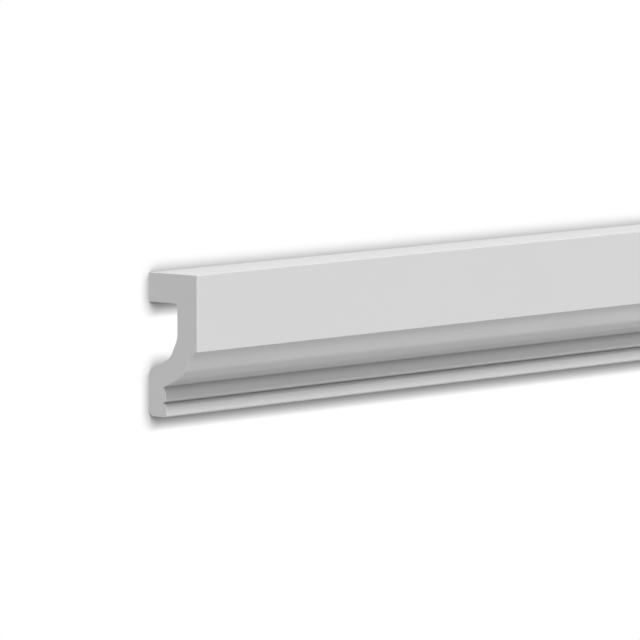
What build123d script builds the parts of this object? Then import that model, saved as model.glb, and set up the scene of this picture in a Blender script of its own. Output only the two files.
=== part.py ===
from build123d import *
import os

# A length of wall moulding in one piece, lying on its back with the moulded front up.
# X runs along the stock, Y up the wall from the bead edge to the top edge, Z out of the wall.
# In the section, "up" is measured from the bead edge and "out" from the wall. All sizes in mm.

# Overall size of the stock
length = 2000.0
height = 80.0
projection = 35.0

# Fascia: the tall flat face, with a narrow soffit under its foot
fascia_height = 42.7
soffit_depth = 1.5
arris_radius = 0.3

# Cyma: a steep upper part that is slightly hollow, a wide bend, and a lower part that runs back under it
cyma_hollow = 0.8
bend_up = 23.1
bend_out = 25.1
bend_radius = 16.0

# Torus band between the cyma and the bead: it swells to its widest line, then tucks in to the quirk
torus_top = 16.7
torus_widest_up = 10.8
torus_out = 12.0
quirk_out = 10.1

# Bead along the lower edge
bead_height = 7.7
bead_out = 12.55
bead_shoulder_up = 4.5
bead_foot_radius = 1.2

# Back: two lands that meet the wall, and a hollow between them that follows the front
top_land = 16.3
foot_radius = 3.0
land_end_up = 24.6
land_end_radius = 5.0
kink_above_bend = 10.4
kink_behind_bend = 9.6
kink_radius = 6.0
web_thickness = 14.3
web_foot_up = 44.0
web_foot_radius = 16.0
flange_radius = 2.5


def at(up, out):
    """A section point on the YZ plane, with the section's middle at Y = 0."""
    return (up - height / 2, out)


UP_THE_WALL = (1, 0)
DOWN_THE_WALL = (-1, 0)
fascia_foot_up = height - fascia_height
flange_up = height - top_land
web_back_out = projection - web_thickness

# Corners of the section before rounding, in order round the outline
top_back = at(height, 0)
top_front = at(height, projection)
fascia_foot = at(fascia_foot_up, projection)
soffit_inner = at(fascia_foot_up, projection - soffit_depth)
cyma_bend = at(bend_up, bend_out)
cyma_foot = at(torus_top, quirk_out)
torus_widest = at(torus_widest_up, torus_out)
quirk = at(bead_height, quirk_out)
bead_shoulder = at(bead_shoulder_up, bead_out)
bead_foot = at(0, bead_out)
foot_back = at(0, 0)
land_end = at(land_end_up, 0)
kink = at(bend_up + kink_above_bend, bend_out - kink_behind_bend)
web_foot = at(web_foot_up, web_back_out)
flange_inner = at(flange_up, web_back_out)
flange_back = at(flange_up, 0)

# Radius of each rounded corner
roundings = [
    (top_back, arris_radius),
    (top_front, arris_radius),
    (fascia_foot, arris_radius),
    (cyma_bend, bend_radius),
    (bead_foot, bead_foot_radius),
    (foot_back, foot_radius),
    (land_end, land_end_radius),
    (kink, kink_radius),
    (web_foot, web_foot_radius),
    (flange_inner, flange_radius),
    (flange_back, arris_radius),
]

with BuildPart() as moulding:
    with BuildSketch(Plane.YZ) as section:
        with BuildLine():
            Polyline(top_back, top_front, fascia_foot, soffit_inner)
            SagittaArc(soffit_inner, cyma_bend, cyma_hollow)
            Line(cyma_bend, cyma_foot)
            TangentArc(torus_widest, cyma_foot, tangent=UP_THE_WALL)
            TangentArc(torus_widest, quirk, tangent=DOWN_THE_WALL)
            TangentArc(bead_shoulder, quirk, tangent=UP_THE_WALL)
            Polyline(bead_shoulder, bead_foot, foot_back, land_end)
            Polyline(land_end, kink, web_foot, flange_inner, flange_back, top_back)
        make_face()
        for corner, radius in roundings:
            fillet(section.vertices().sort_by_distance(corner)[0], radius)
    extrude(amount=length / 2, both=True)

os.makedirs("parts", exist_ok=True)
export_step(moulding.part, "parts/wall_moulding.step")
print("volume cm3", moulding.part.volume / 1000, "box", moulding.part.bounding_box().size)
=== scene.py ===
# %% [markdown]
# # A length of wall moulding
#
# A wall moulding is a long straight stick with one shaped section all the way along. This one is cast in
# rigid foam and sprayed with a white-grey primer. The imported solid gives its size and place. Here the same
# section is drawn again with finer curves, and gets its finish, a floor, light and a camera.
#
# X runs along the stock, Y up the wall and Z out of the wall. The stick lies on its back, so the wall's
# plane is the floor.

# %% Load the frame
import math

import bpy
from mathutils import Matrix, Vector


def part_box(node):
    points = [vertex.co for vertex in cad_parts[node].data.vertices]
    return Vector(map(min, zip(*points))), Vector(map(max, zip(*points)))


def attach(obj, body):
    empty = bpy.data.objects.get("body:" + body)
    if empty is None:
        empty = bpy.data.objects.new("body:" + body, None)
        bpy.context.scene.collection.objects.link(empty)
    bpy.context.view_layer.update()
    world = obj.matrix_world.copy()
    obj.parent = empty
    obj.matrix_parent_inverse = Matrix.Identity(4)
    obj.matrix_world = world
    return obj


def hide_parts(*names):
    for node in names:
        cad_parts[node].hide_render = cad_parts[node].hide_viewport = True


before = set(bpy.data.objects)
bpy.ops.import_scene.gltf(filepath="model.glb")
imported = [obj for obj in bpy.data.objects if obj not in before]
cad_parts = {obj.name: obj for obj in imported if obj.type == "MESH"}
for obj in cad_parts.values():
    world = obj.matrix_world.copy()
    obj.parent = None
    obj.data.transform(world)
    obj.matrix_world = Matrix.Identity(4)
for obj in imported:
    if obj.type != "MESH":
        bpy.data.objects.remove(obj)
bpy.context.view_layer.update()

# %% [markdown]
# ## Sizes of the section
#
# The overall length, height and depth come from the solid, so the piece can't drift away from it. The
# sizes inside the section repeat the ones that the solid was drawn from. "Up" is measured from the bead
# edge and "out" from the wall.

# %% Sizes in metres
mm = 0.001

low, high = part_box("wall_moulding")
length = high.x - low.x
height = high.y - low.y
projection = high.z - low.z

fascia_height = 42.7 * mm
soffit_depth = 1.5 * mm
arris_radius = 0.3 * mm

cyma_hollow = 0.8 * mm
bend_up = 23.1 * mm
bend_out = 25.1 * mm
bend_radius = 16.0 * mm

torus_top = 16.7 * mm
torus_widest_up = 10.8 * mm
torus_out = 12.0 * mm
quirk_out = 10.1 * mm

bead_height = 7.7 * mm
bead_out = 12.55 * mm
bead_shoulder_up = 4.5 * mm
bead_foot_radius = 1.2 * mm

top_land = 16.3 * mm
foot_radius = 3.0 * mm
land_end_up = 24.6 * mm
land_end_radius = 5.0 * mm
kink_up = 33.5 * mm
kink_out = 15.5 * mm
kink_radius = 6.0 * mm
web_thickness = 14.3 * mm
web_foot_up = 44.0 * mm
web_foot_radius = 16.0 * mm
flange_radius = 2.5 * mm

end_ease = 0.08 * mm        # how far the saw-cut ends' sharp edges are rubbed down
print("stock", round(length, 4), "x", round(height, 4), "x", round(projection, 4), "m")

# %% [markdown]
# ## Drawing an outline with a pen
#
# The section could be a bezier curve, or a plane whose corners are bevelled. A bevelled corner is only a
# true circle where the corner is square, and this section has few square corners. So the outline is drawn
# as a draughtsman would: one vertex is the pen, Extrude drags it along each straight run, and Spin swings
# it about a centre for each round. Both leave the newest vertex selected, ready for the next stroke.

# %% The pen
arc_step = math.radians(3)      # one edge of an arc for each of these
least_steps = 5                 # even the shortest arc has this many edges
near_end = low.x + end_ease


def at(up, out):
    """A point of the section, on the plane where the drawing starts."""
    return Vector((near_end, low.y + up, low.z + out))


def put_pen(point):
    """A tiny plane merged to one vertex is where the drawing starts."""
    bpy.ops.object.select_all(action="DESELECT")
    bpy.ops.mesh.primitive_plane_add(size=mm, location=point)
    bpy.ops.object.transform_apply(location=True, rotation=False, scale=False)
    bpy.ops.object.mode_set(mode="EDIT")
    bpy.ops.mesh.merge(type="CENTER")
    return point.copy()


def run(pen, end):
    """A straight run from the pen to end."""
    bpy.ops.mesh.extrude_vertices_move(TRANSFORM_OT_translate={"value": end - pen})
    return end.copy()


def swing(pen, centre, end, outward):
    """An arc from the pen to end about centre: outward where the solid swells, else hollow."""
    from_angle = math.atan2(pen.z - centre.z, pen.y - centre.y)
    to_angle = math.atan2(end.z - centre.z, end.y - centre.y)
    turn = (to_angle - from_angle) if outward else (from_angle - to_angle)
    turn %= 2 * math.pi
    steps = max(least_steps, math.ceil(turn / arc_step))
    # Spin turns clockwise about its axis, and the outline runs anticlockwise seen from +X.
    axis = (-1, 0, 0) if outward else (1, 0, 0)
    bpy.ops.mesh.spin(steps=steps, angle=turn, center=centre, axis=axis)
    return end.copy()


def round_corner(pen, corner, after, radius):
    """A run towards corner and a rounding there, ready to go on towards after."""
    back = (pen - corner).normalized()
    ahead = (after - corner).normalized()
    half = back.angle(ahead) / 2
    reach = radius / math.tan(half)
    centre = corner + (back + ahead).normalized() * radius / math.sin(half)
    outward = back.cross(ahead).x < 0
    pen = run(pen, corner + back * reach)
    return swing(pen, centre, corner + ahead * reach, outward)


def centre_behind(widest, other):
    """Centre of the arc that stands upright at its widest point and goes through the other point."""
    rise = other.y - widest.y
    depth = widest.z - other.z
    radius = (rise ** 2 + depth ** 2) / (2 * depth)
    return widest - Vector((0, 0, radius))


def hollow_centre(start, end, depth):
    """Centre of the hollow arc from start to end that is depth deep in its middle."""
    chord = end - start
    radius = (chord.length_squared / 4 + depth ** 2) / (2 * depth)
    away = Vector((0, chord.z, -chord.y)).normalized()
    return (start + end) / 2 + away * (radius - depth)


def bend_from_hollow(pen, centre, corner, after, radius):
    """From the pen along the hollow arc, round the bend of that radius, ready to go on towards after."""
    along = (after - corner).normalized()
    inward = Vector((0, -along.z, along.y))
    hollow_radius = (pen - centre).length
    # The bend's centre lies one radius inside the run to after. From the hollow's centre it lies both radii
    # away, because the two arcs touch between their centres.
    rail = corner + inward * radius - centre
    across = rail - along * rail.dot(along)
    reach = math.sqrt((hollow_radius + radius) ** 2 - across.length_squared)
    bend_centre = centre + across - along * reach
    if (bend_centre - corner).dot(along) < 0:
        bend_centre = centre + across + along * reach
    joint = centre + (bend_centre - centre).normalized() * hollow_radius
    pen = swing(pen, centre, joint, False)
    return swing(pen, bend_centre, bend_centre - inward * radius, True)


print("one arc edge turns", round(math.degrees(arc_step), 1), "degrees")

# %% [markdown]
# ## The front of the section
#
# From the top edge down: a tall flat fascia, a narrow soffit under it, the cyma that falls steeply and
# then runs out almost flat, the torus band, a sharp quirk and the bead. The arrises on the fascia are
# nearly sharp, as a mould leaves them.

# %% Draw the front
fascia_foot_up = height - fascia_height
top_back = at(height, 0)
top_front = at(height, projection)
fascia_foot = at(fascia_foot_up, projection)
soffit_inner = at(fascia_foot_up, projection - soffit_depth)
cyma_bend = at(bend_up, bend_out)
cyma_foot = at(torus_top, quirk_out)
torus_widest = at(torus_widest_up, torus_out)
quirk = at(bead_height, quirk_out)
bead_shoulder = at(bead_shoulder_up, bead_out)
bead_foot = at(0, bead_out)
foot_back = at(0, 0)

start_up = height / 2 + fascia_height / 2       # on the flat of the fascia, away from its corners
pen = put_pen(at(start_up, projection))
moulding = bpy.context.object
moulding.name = "moulding"
moulding.data.name = "moulding"
drawing_start = pen.copy()

pen = round_corner(pen, fascia_foot, soffit_inner, arris_radius)
pen = run(pen, soffit_inner)
cyma_centre = hollow_centre(soffit_inner, cyma_bend, cyma_hollow)
pen = bend_from_hollow(pen, cyma_centre, cyma_bend, cyma_foot, bend_radius)
pen = run(pen, cyma_foot)
pen = swing(pen, centre_behind(torus_widest, cyma_foot), torus_widest, True)
pen = swing(pen, centre_behind(torus_widest, quirk), quirk, True)
pen = swing(pen, centre_behind(bead_shoulder, quirk), bead_shoulder, True)
pen = round_corner(pen, bead_foot, foot_back, bead_foot_radius)
moulding.update_from_editmode()
print("front of", len(moulding.data.vertices), "points")

# %% [markdown]
# ## The back of the section
#
# Two flat lands meet the wall. Between them the back is hollow, which saves foam and leaves room for
# adhesive and cables. The hollow follows the front, so the wall of the moulding stays nearly even in
# thickness. The outline then goes round the top edge to where it began, is merged and filled.

# %% Draw the back and close the outline
flange_up = height - top_land
web_back_out = projection - web_thickness
land_end = at(land_end_up, 0)
kink = at(kink_up, kink_out)
web_foot = at(web_foot_up, web_back_out)
flange_inner = at(flange_up, web_back_out)
flange_back = at(flange_up, 0)

pen = round_corner(pen, foot_back, land_end, foot_radius)
pen = round_corner(pen, land_end, kink, land_end_radius)
pen = round_corner(pen, kink, web_foot, kink_radius)
pen = round_corner(pen, web_foot, flange_inner, web_foot_radius)
pen = round_corner(pen, flange_inner, flange_back, flange_radius)
pen = round_corner(pen, flange_back, top_back, arris_radius)
pen = round_corner(pen, top_back, top_front, arris_radius)
pen = round_corner(pen, top_front, fascia_foot, arris_radius)
pen = run(pen, drawing_start)

same_place = 0.001 * mm
bpy.ops.mesh.select_all(action="SELECT")
bpy.ops.mesh.remove_doubles(threshold=same_place)
bpy.ops.mesh.edge_face_add()
moulding.update_from_editmode()
print("outline of", len(moulding.data.vertices), "points,", len(moulding.data.polygons), "face")

# %% [markdown]
# ## Pulling the stock to length
#
# A moulding is the same section all the way, so one extrusion makes it. The ends are sawn square. The
# saw leaves a sharp edge that wears down at the first touch, so each end face is inset by a hair and
# raised by the same amount, which makes a tiny chamfer all round it.

# %% Extrude and ease the ends
squarely_along = 0.99       # least X of the normal of a face that looks along the stock

bpy.ops.mesh.extrude_region_move(
    TRANSFORM_OT_translate={"value": (length - 2 * end_ease, 0, 0)}
)
bpy.ops.mesh.select_all(action="SELECT")
bpy.ops.mesh.normals_make_consistent(inside=False)


def select_ends():
    """Selects the two sawn faces, which look along the stock."""
    bpy.ops.mesh.select_all(action="DESELECT")
    bpy.ops.object.mode_set(mode="OBJECT")
    for face in moulding.data.polygons:
        face.select = abs(face.normal.x) > squarely_along
    bpy.ops.object.mode_set(mode="EDIT")


bpy.ops.mesh.select_mode(type="FACE")
select_ends()
bpy.ops.mesh.inset(thickness=end_ease, depth=end_ease)
bpy.ops.object.mode_set(mode="OBJECT")
print("prism of", len(moulding.data.polygons), "faces, length",
      round(moulding.dimensions.x, 4), "m")

# %% [markdown]
# ## Smooth rounds, flat flats
#
# Smooth shading blends the small faces of the rounds. On its own it would also bend the light on the
# flats beside them, so a Weighted Normal modifier lets the big faces keep their own direction.

# %% Shade the piece
smooth_angle = math.radians(22)     # rounds turn less than this at an edge, and real corners turn more
bpy.ops.object.select_all(action="DESELECT")
moulding.select_set(True)
bpy.context.view_layer.objects.active = moulding
bpy.ops.object.shade_smooth_by_angle(angle=smooth_angle)
weighted = moulding.modifiers.new("flat flats", "WEIGHTED_NORMAL")
weighted.mode = "FACE_AREA"
weighted.keep_sharp = True
bpy.ops.object.modifier_apply(modifier=weighted.name)
print("sharp edges", sum(edge.use_edge_sharp for edge in moulding.data.edges))

# %% [markdown]
# ## The primer coat
#
# The front is sprayed with a satin primer. Spray leaves a very fine orange peel that shows only close
# up, and the coat is a touch thicker in some places than in others. Noise on Object coordinates gives
# both, so the pattern stays at its real size however long the stock is. In narrow grooves and corners the
# coat's grey is darkened as painted shade, and its roughness is raised so that it is duller there.
# Ambient Occlusion finds such places.

# %% Primer material
primer_grey = 0.74
primer_spread = 0.008       # how far the grey wanders to either side
primer_specular = 0.3
coat_scale = 18.0           # patches of about five centimetres
peel_scale = 420.0          # bumps of about two millimetres
peel_strength, peel_height = 0.05, 0.2 * mm
groove_reach = 5 * mm       # how near a facing surface brings painted shade and a duller coat
# share of the grey taken away as painted shade at the bottom of a groove
painted_groove_shade = 0.5
groove_roughness = 0.95
sheen_low, sheen_high = 0.33, 0.39      # roughness of the coat outside the grooves


def node(tree, kind, **inputs):
    """A node of that kind with some of its inputs set, by name."""
    made = tree.nodes.new(kind)
    for name, value in inputs.items():
        made.inputs[name.replace("_", " ")].default_value = value
    return made


def finish_material(name):
    """A new material, its node tree and its Principled shader."""
    material = bpy.data.materials.new(name)
    material.use_nodes = True
    tree = material.node_tree
    return material, tree, tree.nodes["Principled BSDF"]


def soft_grey(tree, mask, low_grey, high_grey):
    """A grey that goes from low_grey to high_grey as mask goes from 0 to 1."""
    ramp = node(tree, "ShaderNodeValToRGB")
    ramp.color_ramp.elements[0].color = (low_grey, low_grey, low_grey, 1)
    ramp.color_ramp.elements[1].color = (high_grey, high_grey, high_grey, 1)
    tree.links.new(mask, ramp.inputs["Fac"])
    return ramp.outputs["Color"]


primer, tree, shader = finish_material("primer coat")
shader.inputs["Specular IOR Level"].default_value = primer_specular
place = node(tree, "ShaderNodeTexCoord").outputs["Object"]
coat = node(tree, "ShaderNodeTexNoise", Scale=coat_scale, Detail=3.0)
tree.links.new(place, coat.inputs["Vector"])
grooves = node(tree, "ShaderNodeAmbientOcclusion", Distance=groove_reach)
grooves.only_local = True
coat_grey = soft_grey(tree, coat.outputs["Fac"], primer_grey - primer_spread, primer_grey + primer_spread)
# Painted shade: the coat's grey is darkened where AO finds a facing surface close by.
painted_shade_factor = node(tree, "ShaderNodeMapRange", To_Min=1 - painted_groove_shade, To_Max=1.0)
tree.links.new(grooves.outputs["AO"], painted_shade_factor.inputs["Value"])
painted_shade_grey = node(tree, "ShaderNodeVectorMath")
painted_shade_grey.operation = "MULTIPLY"
tree.links.new(coat_grey, painted_shade_grey.inputs[0])
tree.links.new(painted_shade_factor.outputs["Result"], painted_shade_grey.inputs[1])
tree.links.new(painted_shade_grey.outputs["Vector"], shader.inputs["Base Color"])
sheen = node(tree, "ShaderNodeMapRange", To_Min=sheen_low, To_Max=sheen_high)
tree.links.new(coat.outputs["Fac"], sheen.inputs["Value"])
dull_grooves = node(tree, "ShaderNodeMix", A=groove_roughness)
tree.links.new(grooves.outputs["AO"], dull_grooves.inputs["Factor"])
tree.links.new(sheen.outputs["Result"], dull_grooves.inputs["B"])
tree.links.new(dull_grooves.outputs["Result"], shader.inputs["Roughness"])
peel = node(tree, "ShaderNodeTexNoise", Scale=peel_scale, Detail=1.0)
tree.links.new(place, peel.inputs["Vector"])
relief = node(tree, "ShaderNodeBump", Strength=peel_strength, Distance=peel_height)
tree.links.new(peel.outputs["Fac"], relief.inputs["Height"])
tree.links.new(relief.outputs["Normal"], shader.inputs["Normal"])
moulding.data.materials.append(primer)
print("primer of grey", primer_grey, "with roughness from", sheen_low, "to", sheen_high)

# %% [markdown]
# ## The sawn ends
#
# The saw opens the foam, so the ends are rougher and whiter than the coat, with closed cells a fraction
# of a millimetre across. A Voronoi texture gives the cells. They are kept faint, because the foam is fine.

# %% End material
foam_grey = 0.9
foam_spread = 0.015
foam_specular = 0.1
foam_roughness = 0.85
cell_scale = 2600.0         # cells of about 0.4 mm
pit_strength, pit_depth = 0.1, 0.05 * mm
end_facing = 0.5            # least X of the normal of a sawn face or of its chamfer

foam, tree, shader = finish_material("sawn foam")
shader.inputs["Specular IOR Level"].default_value = foam_specular
shader.inputs["Roughness"].default_value = foam_roughness
place = node(tree, "ShaderNodeTexCoord").outputs["Object"]
cells = node(tree, "ShaderNodeTexVoronoi", Scale=cell_scale)
tree.links.new(place, cells.inputs["Vector"])
tree.links.new(
    soft_grey(tree, cells.outputs["Distance"], foam_grey - foam_spread, foam_grey + foam_spread),
    shader.inputs["Base Color"],
)
pits = node(tree, "ShaderNodeBump", Strength=pit_strength, Distance=pit_depth)
tree.links.new(cells.outputs["Distance"], pits.inputs["Height"])
tree.links.new(pits.outputs["Normal"], shader.inputs["Normal"])
moulding.data.materials.append(foam)
for face in moulding.data.polygons:
    face.material_index = 1 if abs(face.normal.x) > end_facing else 0
print("end faces", sum(face.material_index for face in moulding.data.polygons))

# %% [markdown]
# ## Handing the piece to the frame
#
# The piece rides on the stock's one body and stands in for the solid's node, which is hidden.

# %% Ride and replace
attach(moulding, "root")
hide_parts("wall_moulding")

# %% [markdown]
# ## The floor
#
# The stock lies on a plain white floor. To the camera the floor is a flat white emission that darkens only
# close to the piece: a soft contact shadow painted into that emission rather than cast by the lamps. Ambient
# Occlusion finds what is near. The light that bounces back up comes from a dark grey, so that the floor
# hardly fills the shaded bands.

# %% Floor and its painted contact shadow
floor_size = 400
floor_bounce = 0.2
shadow_reach = 9.5 * mm
shadow_samples = 16
shadow_lean = Vector((-0.4, 0.5, 0.85)).normalized()
shadow_depth = 2.0
bpy.ops.object.select_all(action="DESELECT")
bpy.ops.mesh.primitive_plane_add(size=floor_size, location=(0, 0, low.z))
floor = bpy.context.object
floor.name = "floor"


def white_to_camera(tree, lit, shown, output):
    """Camera, glossy and transmitted rays see shown, and all other rays see lit."""
    rays = node(tree, "ShaderNodeLightPath")
    seen = rays.outputs["Is Camera Ray"]
    for other in ("Is Glossy Ray", "Is Transmission Ray"):
        either = node(tree, "ShaderNodeMath")
        either.operation = "MAXIMUM"
        tree.links.new(seen, either.inputs[0])
        tree.links.new(rays.outputs[other], either.inputs[1])
        seen = either.outputs["Value"]
    mix = node(tree, "ShaderNodeMixShader")
    tree.links.new(seen, mix.inputs["Fac"])
    tree.links.new(lit, mix.inputs[1])
    tree.links.new(shown, mix.inputs[2])
    tree.links.new(mix.outputs["Shader"], output.inputs["Surface"])


floor_material = bpy.data.materials.new("white floor")
floor_material.use_nodes = True
tree = floor_material.node_tree
tree.nodes.remove(tree.nodes["Principled BSDF"])
bounce = node(tree, "ShaderNodeBsdfDiffuse")
bounce.inputs["Color"].default_value = (floor_bounce, floor_bounce, floor_bounce, 1)
lean = node(tree, "ShaderNodeCombineXYZ", X=shadow_lean.x, Y=shadow_lean.y, Z=shadow_lean.z)
near = node(tree, "ShaderNodeAmbientOcclusion", Distance=shadow_reach)
near.samples = shadow_samples
tree.links.new(lean.outputs["Vector"], near.inputs["Normal"])
painted_shadow = node(tree, "ShaderNodeMath")
painted_shadow.operation = "POWER"
painted_shadow.inputs[1].default_value = shadow_depth
tree.links.new(near.outputs["AO"], painted_shadow.inputs[0])
# Painted shadow: the floor's white emission is darkened by AO close to the piece.
white = node(tree, "ShaderNodeEmission", Strength=1.0)
tree.links.new(painted_shadow.outputs["Value"], white.inputs["Color"])
white_to_camera(tree, bounce.outputs["BSDF"], white.outputs["Emission"],
                tree.nodes["Material Output"])
floor.data.materials.append(floor_material)
print("floor at z =", round(low.z, 4))

# %% [markdown]
# ## Light
#
# One soft lamp high in front gives the bands of the section their steps in tone: the fascia keeps it off
# the torus but not off the bead. A weak lamp low at the far end glances off the satin coat and draws the
# light band along the cyma. Sun lamps with a wide angle do that evenly all along the stock.

# %% Key light and glancing light
key_height, key_side, key_strength, key_width = 56.2, 0.0, 0.61, 6.4
glance_height, glance_side, glance_strength, glance_width = -66.0, -53.0, 0.08, 16.0


def add_sun(name, height_angle, side_angle, strength, width):
    """A sun lamp, in degrees above straight ahead of the wall and towards the near end."""
    above, aside = math.radians(height_angle), math.radians(side_angle)
    comes_from = Vector((
        -math.sin(aside),
        math.cos(aside) * math.sin(above),
        math.cos(aside) * math.cos(above),
    ))
    bpy.ops.object.light_add(type="SUN", location=comes_from)
    lamp = bpy.context.object
    lamp.name = name
    lamp.rotation_euler = comes_from.to_track_quat("Z", "Y").to_euler()
    lamp.data.angle = math.radians(width)
    lamp.data.energy = strength * math.pi / primer_grey
    return lamp


key = add_sun("soft key", key_height, key_side, key_strength, key_width)
glance = add_sun("glancing light", glance_height, glance_side, glance_strength, glance_width)
print("key energy", round(key.data.energy, 3), "glance energy", round(glance.data.energy, 3))

# %% [markdown]
# ## The room
#
# The rest of the light comes from the room, which is the world here. Its brightness is a level plus a share
# for each direction, and it never falls below nothing. It is strongest on the near end's side, so the sawn
# end gets its light from there. The camera, and any gloss, sees a plain white backdrop instead.

# %% The world
room_level = 0.19
room_share = {"X": -0.54, "Y": -0.04, "Z": 0.12}

world = bpy.data.worlds.new("studio")
bpy.context.scene.world = world
world.use_nodes = True
tree = world.node_tree
room = tree.nodes["Background"]
direction = node(tree, "ShaderNodeSeparateXYZ")
tree.links.new(node(tree, "ShaderNodeTexCoord").outputs["Generated"], direction.inputs["Vector"])
level = node(tree, "ShaderNodeValue")
level.outputs["Value"].default_value = room_level / primer_grey
brightness = level.outputs["Value"]
for axis, share in room_share.items():
    add = node(tree, "ShaderNodeMath")
    add.operation = "MULTIPLY_ADD"
    add.inputs[1].default_value = share / primer_grey
    tree.links.new(direction.outputs[axis], add.inputs[0])
    tree.links.new(brightness, add.inputs[2])
    brightness = add.outputs["Value"]
not_negative = node(tree, "ShaderNodeMath")
not_negative.operation = "MAXIMUM"
tree.links.new(brightness, not_negative.inputs[0])
not_negative.inputs[1].default_value = 0.0
tree.links.new(not_negative.outputs["Value"], room.inputs["Strength"])
room.inputs["Color"].default_value = (1, 1, 1, 1)
backdrop = node(tree, "ShaderNodeBackground", Strength=1.0)
backdrop.inputs["Color"].default_value = (1, 1, 1, 1)
white_to_camera(tree, room.outputs["Background"], backdrop.outputs["Background"],
                tree.nodes["World Output"])
print("room level", round(room_level / primer_grey, 3))

# %% [markdown]
# ## Camera
#
# The picture looks along the stock at a shallow angle through a very long lens, so the long edges barely
# draw together. The camera is rolled so that "up the wall" is up in the picture, although the stock lies
# on its back.

# %% Camera
camera_heading = math.radians(40.2)     # between the view and the length of the stock
camera_pitch = math.radians(5.24)       # looking down from the top edge's side
camera_lens = 429.4
sensor_width = 36.0
camera_range = 500
camera_eye = Vector((-4.1535, 0.3994, 2.7887))

forward = Vector((
    math.cos(camera_pitch) * math.cos(camera_heading),
    -math.sin(camera_pitch),
    -math.cos(camera_pitch) * math.sin(camera_heading),
))
right = Vector((math.sin(camera_heading), 0, math.cos(camera_heading)))
upward = right.cross(forward)
bpy.ops.object.camera_add(location=camera_eye)
camera = bpy.context.object
camera.rotation_euler = Matrix((right, upward, -forward)).transposed().to_euler()
camera.data.sensor_width = sensor_width
camera.data.lens = camera_lens
camera.data.clip_end = camera_range
bpy.context.scene.camera = camera
bpy.context.scene.view_settings.view_transform = "Standard"
print("camera at", [round(c, 3) for c in camera_eye])
